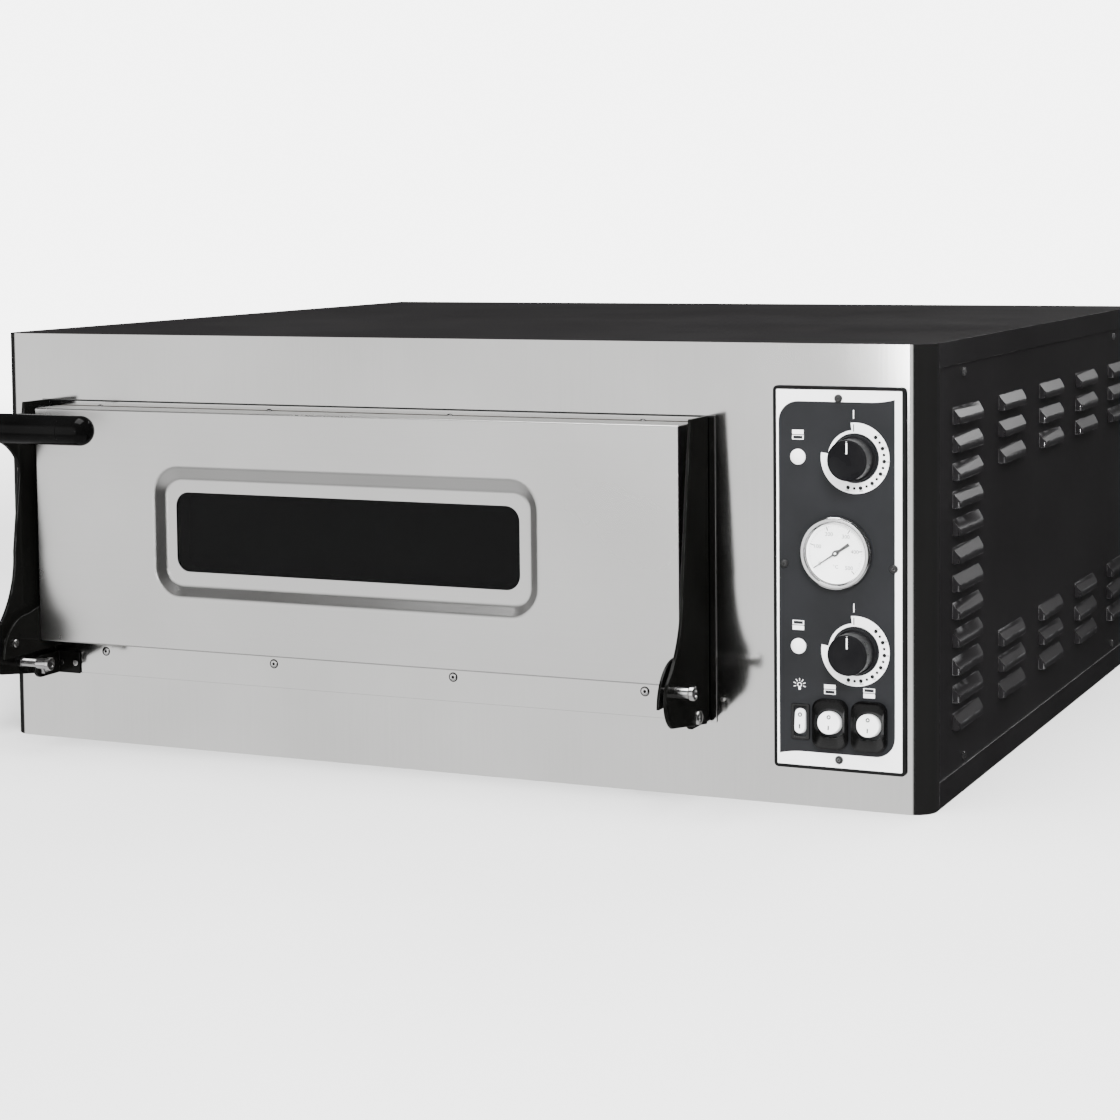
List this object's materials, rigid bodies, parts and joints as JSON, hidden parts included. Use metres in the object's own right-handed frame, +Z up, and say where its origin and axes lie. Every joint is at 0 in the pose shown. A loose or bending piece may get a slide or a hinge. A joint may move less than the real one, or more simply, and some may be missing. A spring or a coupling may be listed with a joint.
{
  "type": "countertop pizza oven",
  "caption": "Electric deck pizza oven with a stainless front, a drop-down windowed door on two black arms, a stub handle, and a panel of dials, a gauge and rocker switches.",
  "frame": {"origin": "centre of the casing's footprint, on the surface that the oven stands on", "axes": "+X to the right seen from the front, +Y to the back, +Z up"},
  "size_m": [0.9846, 1.0215, 0.413],
  "materials": {
    "stainless": "brushed satin",
    "black_enamel": "gloss enamel",
    "black_sheet": "satin powder coat",
    "zinc_sheet": "galvanised, dull",
    "chamber_steel": "aluminised, heat-tinted",
    "fire_stone": "dry refractory stone",
    "element_tube": "oxidised",
    "mineral_wool": "matted fibre blanket",
    "toughened_glass": "polished",
    "seal_braid": "woven glass-fibre braid",
    "bright_fastener": "plated",
    "black_fastener": "blackened",
    "black_moulding": "glossy moulded",
    "knob_plastic": "satin moulded",
    "fascia_print": "printed plate",
    "fascia_backing": "satin",
    "white_plastic": "glossy moulded",
    "lamp_lens": "translucent",
    "dial_white": "printed enamel",
    "pointer_black": "matt",
    "lamp_ceramic": "unglazed"
  },
  "bodies": {
    "oven": {"front_panel": "stainless", "top_cover": "black_sheet", "side_panel_left": "black_sheet", "side_panel_right": "black_sheet", "rear_panel": "black_sheet", "base_tray": "black_sheet", "casing_screws": "black_fastener", "cable_gland": "black_moulding", "compartment_wall": "zinc_sheet", "mouth_frame": "stainless", "mouth_frame_screws": "bright_fastener", "chamber_liner": "chamber_steel", "stone_rails": "chamber_steel", "deck_stones": "fire_stone", "upper_elements": "element_tube", "lower_elements": "element_tube", "insulation_top": "mineral_wool", "insulation_bottom": "mineral_wool", "insulation_sides": "mineral_wool", "insulation_back": "mineral_wool", "oven_lamp_holder": "lamp_ceramic", "oven_lamp_lens": "toughened_glass", "oven_lamp_bulb": "toughened_glass", "hinge_bracket_left": "black_enamel", "hinge_bracket_right": "black_enamel", "hinge_bracket_screws": "black_fastener", "control_fascia": "fascia_backing", "fascia_overlay": "fascia_print", "fascia_screws": "black_fastener", "thermostat_upper": "lamp_ceramic", "thermostat_lower": "lamp_ceramic", "thermostat_probe_upper": "chamber_steel", "thermostat_probe_lower": "chamber_steel", "pilot_lamps": "lamp_lens", "thermometer_case": "bright_fastener", "thermometer_dial": "dial_white", "thermometer_lens": "toughened_glass", "light_switch_housing": "black_moulding", "upper_switch_housing": "black_moulding", "lower_switch_housing": "black_moulding", "terminal_block": "lamp_ceramic"},
    "door": {"door_outer_skin": "stainless", "door_inner_skin": "chamber_steel", "door_insulation": "mineral_wool", "door_outer_glass": "toughened_glass", "door_inner_glass": "toughened_glass", "door_seal": "seal_braid", "door_arm_left": "black_enamel", "door_arm_right": "black_enamel", "door_cheeks": "black_enamel", "door_pivot_bolts": "bright_fastener", "arm_bolts": "bright_fastener", "pull_pin": "bright_fastener", "handle_grip": "black_moulding"},
    "knob_upper": {"knob_upper": "knob_plastic"},
    "knob_lower": {"knob_lower": "knob_plastic"},
    "light_rocker": {"light_rocker": "white_plastic"},
    "upper_rocker": {"upper_rocker": "white_plastic"},
    "lower_rocker": {"lower_rocker": "white_plastic"},
    "thermometer_pointer": {"thermometer_pointer": "pointer_black"}
  },
  "joints": [
    {"name": "door_hinge", "type": "hinge", "parent": "oven", "child": "door", "pos_m": [-0.075, -0.468, 0.079], "axis": [1, 0, 0], "range_deg": [0, 80]},
    {"name": "knob_upper_turn", "type": "hinge", "parent": "oven", "child": "knob_upper", "pos_m": [0.42, -0.451, 0.313], "axis": [0, 1, 0], "range_deg": [0, 300]},
    {"name": "knob_lower_turn", "type": "hinge", "parent": "oven", "child": "knob_lower", "pos_m": [0.42, -0.451, 0.1425], "axis": [0, 1, 0], "range_deg": [0, 300]},
    {"name": "light_rocker_tilt", "type": "hinge", "parent": "oven", "child": "light_rocker", "pos_m": [0.3694, -0.437, 0.0765], "axis": [1, 0, 0], "range_deg": [0, 16]},
    {"name": "upper_rocker_tilt", "type": "hinge", "parent": "oven", "child": "upper_rocker", "pos_m": [0.3975, -0.437, 0.0765], "axis": [1, 0, 0], "range_deg": [0, 16]},
    {"name": "lower_rocker_tilt", "type": "hinge", "parent": "oven", "child": "lower_rocker", "pos_m": [0.4333, -0.437, 0.0765], "axis": [1, 0, 0], "range_deg": [0, 16]},
    {"name": "pointer_swing", "type": "hinge", "parent": "oven", "child": "thermometer_pointer", "pos_m": [0.4028, -0.441, 0.2287], "axis": [0, 1, 0], "range_deg": [0, 260]}
  ]
}
